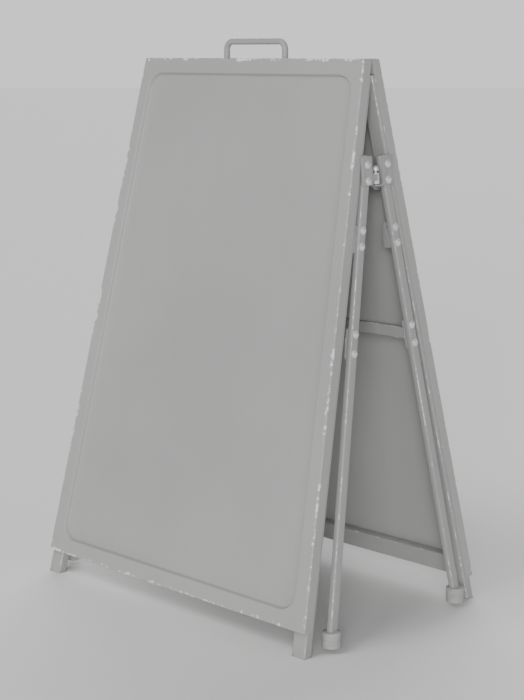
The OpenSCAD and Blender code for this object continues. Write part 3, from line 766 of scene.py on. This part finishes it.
def boltTree():
    # washer, domed head with a hex socket, and shank, standing on every point along its aim
    tree, given, out = newTree("boltRow", (
        ("Head Radius", "NodeSocketFloat"), ("Head Height", "NodeSocketFloat"), ("Washer Radius", "NodeSocketFloat"),
        ("Washer Height", "NodeSocketFloat"), ("Socket Radius", "NodeSocketFloat"),
        ("Shank Radius", "NodeSocketFloat"), ("Shank Length", "NodeSocketFloat"), ("Dome", "NodeSocketFloat"),
        ("Seed", "NodeSocketInt"), ("Finish", "NodeSocketMaterial")))
    link = tree.links.new
    headRadius, headHeight = given.outputs["Head Radius"], given.outputs["Head Height"]

    def lifted(geometry, z):
        lift = addNode(tree, "ShaderNodeCombineXYZ")
        link(z, lift.inputs["Z"])
        moved = addNode(tree, "GeometryNodeTransform")
        link(geometry, moved.inputs["Geometry"])
        link(lift.outputs[0], moved.inputs["Translation"])
        return moved.outputs["Geometry"]

    def disc(radius, height, vertices, fills, base):
        # a cylinder from a base height upward
        made = addNode(tree, "GeometryNodeMeshCylinder",
                       {"Vertices": vertices, "Side Segments": 1, "Fill Segments": fills})
        link(radius, made.inputs["Radius"])
        link(height, made.inputs["Depth"])
        middle = mathOf(tree, "ADD", mathOf(tree, "MULTIPLY", height, 0.5), base)
        return lifted(made.outputs["Mesh"], middle)

    washerHeight = given.outputs["Washer Height"]
    washer = disc(given.outputs["Washer Radius"], washerHeight, 28, 1, 0.0)
    head = disc(headRadius, headHeight, 28, 5, 0.0)
    position = addNode(tree, "GeometryNodeInputPosition")
    split = addNode(tree, "ShaderNodeSeparateXYZ")
    link(position.outputs[0], split.inputs[0])
    squares = mathOf(tree, "ADD", mathOf(tree, "MULTIPLY", split.outputs["X"], split.outputs["X"]),
                     mathOf(tree, "MULTIPLY", split.outputs["Y"], split.outputs["Y"]))
    share = mathOf(tree, "DIVIDE", squares, mathOf(tree, "MULTIPLY", headRadius, headRadius))
    fall = mathOf(tree, "SUBTRACT", 1.0, mathOf(tree, "MULTIPLY", share, given.outputs["Dome"]))
    domed = mathOf(tree, "MULTIPLY", split.outputs["Z"], fall)
    place = addNode(tree, "ShaderNodeCombineXYZ")
    for axis, value in (("X", split.outputs["X"]), ("Y", split.outputs["Y"]), ("Z", domed)):
        link(value, place.inputs[axis])
    shaped = addNode(tree, "GeometryNodeSetPosition")
    link(head, shaped.inputs["Geometry"])
    link(place.outputs[0], shaped.inputs["Position"])
    domedHead = lifted(shaped.outputs["Geometry"], washerHeight)
    socketFloor = mathOf(tree, "ADD", washerHeight, mathOf(tree, "MULTIPLY", headHeight, 0.35))
    key = disc(given.outputs["Socket Radius"], headHeight, 6, 1, socketFloor)
    cutHead = addNode(tree, "GeometryNodeMeshBoolean", operation="DIFFERENCE")
    link(domedHead, cutHead.inputs[0])
    link(key, cutHead.inputs[1])
    shank = disc(given.outputs["Shank Radius"], given.outputs["Shank Length"], 16, 1,
                 mathOf(tree, "MULTIPLY", given.outputs["Shank Length"], -1.0))
    joined = addNode(tree, "GeometryNodeJoinGeometry")
    for geometry in (washer, cutHead.outputs["Mesh"], shank):
        link(geometry, joined.inputs[0])

    aim = addNode(tree, "GeometryNodeInputNamedAttribute", {"Name": "aim"}, data_type="FLOAT_VECTOR")
    turn = addNode(tree, "FunctionNodeAlignRotationToVector", axis="Z")
    link(aim.outputs["Attribute"], turn.inputs["Vector"])
    spin = addNode(tree, "FunctionNodeRandomValue", {2: 0.0, 3: 2 * pi}, data_type="FLOAT")
    link(given.outputs["Seed"], spin.inputs["Seed"])
    spinTurn = addNode(tree, "FunctionNodeAxisAngleToRotation")
    link(spin.outputs[1], spinTurn.inputs["Angle"])
    turned = addNode(tree, "FunctionNodeRotateRotation", rotation_space="LOCAL")
    link(turn.outputs[0], turned.inputs[0])
    link(spinTurn.outputs[0], turned.inputs[1])
    rows = addNode(tree, "GeometryNodeInstanceOnPoints")
    link(given.outputs["Geometry"], rows.inputs["Points"])
    link(joined.outputs[0], rows.inputs["Instance"])
    link(turned.outputs[0], rows.inputs["Rotation"])
    finishTree(tree, rows.outputs[0], given.outputs["Finish"], out)
    return tree


def beadTree():
    # a rippled weld bead along every edge path
    tree, given, out = newTree("weldBead", (
        ("Bead Radius", "NodeSocketFloat"), ("Ripple Length", "NodeSocketFloat"), ("Ripple", "NodeSocketFloat"),
        ("Spacing", "NodeSocketFloat"), ("Finish", "NodeSocketMaterial")))
    link = tree.links.new
    curve = addNode(tree, "GeometryNodeMeshToCurve")
    link(given.outputs["Geometry"], curve.inputs[0])
    even = addNode(tree, "GeometryNodeResampleCurve", mode="LENGTH")
    link(curve.outputs[0], even.inputs["Curve"])
    link(given.outputs["Spacing"], even.inputs["Length"])
    along = addNode(tree, "GeometryNodeSplineParameter")
    turns = mathOf(tree, "DIVIDE", along.outputs["Length"], given.outputs["Ripple Length"])
    sawtooth = mathOf(tree, "FRACT", turns, 0.0)
    swell = mathOf(tree, "MULTIPLY", mathOf(tree, "SUBTRACT", sawtooth, 0.5), given.outputs["Ripple"])
    size = mathOf(tree, "ADD", 1.0, swell)
    ring = addNode(tree, "GeometryNodeCurvePrimitiveCircle", {"Resolution": 8})
    link(given.outputs["Bead Radius"], ring.inputs["Radius"])
    bead = addNode(tree, "GeometryNodeCurveToMesh", {"Fill Caps": True})
    link(even.outputs["Curve"], bead.inputs["Curve"])
    link(ring.outputs["Curve"], bead.inputs["Profile Curve"])
    link(size, bead.inputs["Scale"])
    finishTree(tree, bead.outputs[0], given.outputs["Finish"], out)
    return tree


# bolts
bolts = {"headRadius": 0.0052, "headHeight": 0.0029, "dome": 0.62, "washerRadius": 0.0062, "washerHeight": 0.0009,
         "socketRadius": 0.0022, "shankRadius": 0.003, "plateShank": 0.008, "frameShank": 0.014,
         "plateHeights": (-0.004, 0.020), "frameHeights": (0.600, 0.624, 0.4416, 0.4704)}
boltRow = boltTree()


def pointsMesh(name, places):
    mesh = bpy.data.meshes.new(name)
    mesh.from_pydata([p for p, aim in places], [], [])
    aims = mesh.attributes.new("aim", "FLOAT_VECTOR", "POINT")
    aims.data.foreach_set("vector", [c for p, aim in places for c in aim])
    return mesh


def boltSet(name, y, places, shank, nodes, seed):
    spread = [(flipped(x, y) @ p, flipped(x, y) @ sideOut) for x in (-1, 1) for p in places]
    mesh = runTree(name, pointsMesh(name, spread), boltRow, {
        "Head Radius": bolts["headRadius"], "Head Height": bolts["headHeight"], "Dome": bolts["dome"],
        "Washer Radius": bolts["washerRadius"], "Washer Height": bolts["washerHeight"],
        "Socket Radius": bolts["socketRadius"], "Shank Radius": bolts["shankRadius"], "Shank Length": shank,
        "Seed": seed, "Finish": zincSteel})
    return finishPiece(name, mesh, bodyOf(y), zincSteel, nodes, 30)


legFace = board["legWidth"] / 2
platePlaces = [onSide(legFace + tubes["plate"], -legOffset, z) for z in bolts["plateHeights"]]
framePlaces = [onSide(legFace, legY(z), sideHeight(z)) for z in bolts["frameHeights"]]
for half, y in halves:
    boltSet(half + "PlateBolts", y, platePlaces, bolts["plateShank"], (f"{half}_plate_bolts",), 3)
    boltSet(half + "FrameBolts", y, framePlaces, bolts["frameShank"], (f"{half}_frame_bolts",), 7)
print("bolts made")

# weld beads
welds = {"radius": 0.0016, "ripple": 0.30, "rippleLength": 0.0019, "spacing": 0.00055,
         "lift": 0.0004, "postRadius": 0.0056, "postSteps": 20}
weldBead = beadTree()


def beadMesh(name, paths):
    # closed loops of edges, one for each path
    verts, edges = [], []
    for path in paths:
        start = len(verts)
        verts += [tuple(p) for p in path]
        edges += [(start + k, start + k + 1) for k in range(len(path) - 1)]
        edges.append((len(verts) - 1, start))
    mesh = bpy.data.meshes.new(name)
    mesh.from_pydata(verts, edges, [])
    return mesh


def rectPath(origin, u, v, width, depth, radius, normal, plane):
    # a rounded rectangle of weld laid on a plane, where a bar runs into it
    path = []
    for x, y in roundedRect(width, depth, radius, 3):
        start = origin + u * x + v * y
        t = (plane - start).dot(normal) / across.dot(normal)
        path.append(start + across * t)
    return path


railEnd = panelCorner - stileAcross * (board["sheetThickness"] + board["stileWidth"])
rightWelds = (
    rectPath(railCentre, depthWay, upSlope, *railSize, tubes["railRadius"],
             stileAcross, railEnd - stileAcross * welds["lift"]),
    rectPath(barCentre, backward, upright, tubes["barDepth"], tubes["barHeight"], tubes["barRadius"],
             sideOut, plateIn - sideOut * welds["lift"]))
for half, y in halves:
    paths = [[flipped(x, y) @ point for point in path] for x in (1, -1) for path in rightWelds]
    if y > 0:
        for x in (-1, 1):           # round each of the handle's posts, where it stands on its boss
            seam = []
            for k in range(welds["postSteps"]):
                a = 2 * pi * k / welds["postSteps"]
                out, side = welds["postRadius"] * cos(a), welds["postRadius"] * sin(a)
                seam.append(Vector((x * postX + out, side, hingeZ + sqrt(handle["bossRadius"] ** 2 - side ** 2))))
            paths.append(seam)
    mesh = runTree(half + "Welds", beadMesh(half + "Welds", paths), weldBead, {
        "Bead Radius": welds["radius"], "Ripple Length": welds["rippleLength"], "Ripple": welds["ripple"],
        "Spacing": welds["spacing"], "Finish": frameCoat})
    finishPiece(half + "Welds", mesh, bodyOf(y), frameCoat, (), 70)
print("welds made")

# floor, light and camera
studio = {"floorRadius": 40.0, "floorColour": (0.88, 0.88, 0.87), "floorRough": 0.85, "floorSpecular": 0.2,
          "horizonColour": (3.3, 3.3, 3.3), "horizonHeights": (0.03, 0.10),
          "worldColour": (0.78, 0.79, 0.80), "worldStrength": 0.30,
          "lens": 84.43, "cameraPlace": (1.8987, -1.8829, 0.8875), "cameraPitch": 10.27, "cameraTurn": 45.02,
          "sensor": 36.0, "farthest": 60.0, "lampDistance": 5}

bm = bmesh.new()
bmesh.ops.create_circle(bm, cap_ends=True, segments=96, radius=studio["floorRadius"])
floorMesh = bpy.data.meshes.new("floor")
bm.to_mesh(floorMesh)
bm.free()
floor = placed("floor", floorMesh)
floorMaterial, floorTree, floorShader, floorCoords = startMaterial("floorMaterial")
floorTone = mixColours(floorTree, noiseOn(floorTree, floorCoords, 1.2, 3), shade(studio["floorColour"], 0.985),
                       studio["floorColour"])
floorTree.links.new(floorTone, floorShader.inputs["Base Color"])
floorShader.inputs["Roughness"].default_value = studio["floorRough"]
floorShader.inputs["Specular IOR Level"].default_value = studio["floorSpecular"]
floorMesh.materials.append(floorMaterial)

world = bpy.data.worlds.new("studioWorld")
world.use_nodes = True
skyTree = world.node_tree
skyPlace = addNode(skyTree, "ShaderNodeSeparateXYZ")
skyTree.links.new(addNode(skyTree, "ShaderNodeTexCoord").outputs["Generated"], skyPlace.inputs[0])
skyTone = mixColours(skyTree, remap(skyTree, skyPlace.outputs["Z"], *studio["horizonHeights"], smooth=True),
                     studio["horizonColour"], studio["worldColour"])
skyTree.links.new(skyTone, skyTree.nodes["Background"].inputs["Color"])
skyTree.nodes["Background"].inputs["Strength"].default_value = studio["worldStrength"]
bpy.context.scene.world = world

lamps = (       # name, turn from the front towards the right side, height angle, strength, softness
    ("keySun", -12, 50, 1.16, 34),
    ("openSideSun", 40, 12, 2.45, 24),
    ("backSun", 218, 30, 1.7, 50),
)
for lampName, turn, high, strength, softness in lamps:
    light = bpy.data.lights.new(lampName, "SUN")
    light.energy = strength
    light.angle = radians(softness)
    lamp = placed(lampName, light)
    flat = cos(radians(high))
    toLamp = Vector((sin(radians(turn)) * flat, -cos(radians(turn)) * flat, sin(radians(high))))
    lamp.location = toLamp * studio["lampDistance"]
    lamp.rotation_euler = (-toLamp).to_track_quat("-Z", "Y").to_euler()

cameraData = bpy.data.cameras.new("camera")
cameraData.sensor_fit = "VERTICAL"
cameraData.sensor_height = studio["sensor"]
cameraData.lens = studio["lens"]
cameraData.clip_end = studio["farthest"]
camera = placed("camera", cameraData)
camera.location = studio["cameraPlace"]
camera.rotation_euler = (radians(90 - studio["cameraPitch"]), 0, radians(studio["cameraTurn"]))
bpy.context.scene.camera = camera
print("stage made")
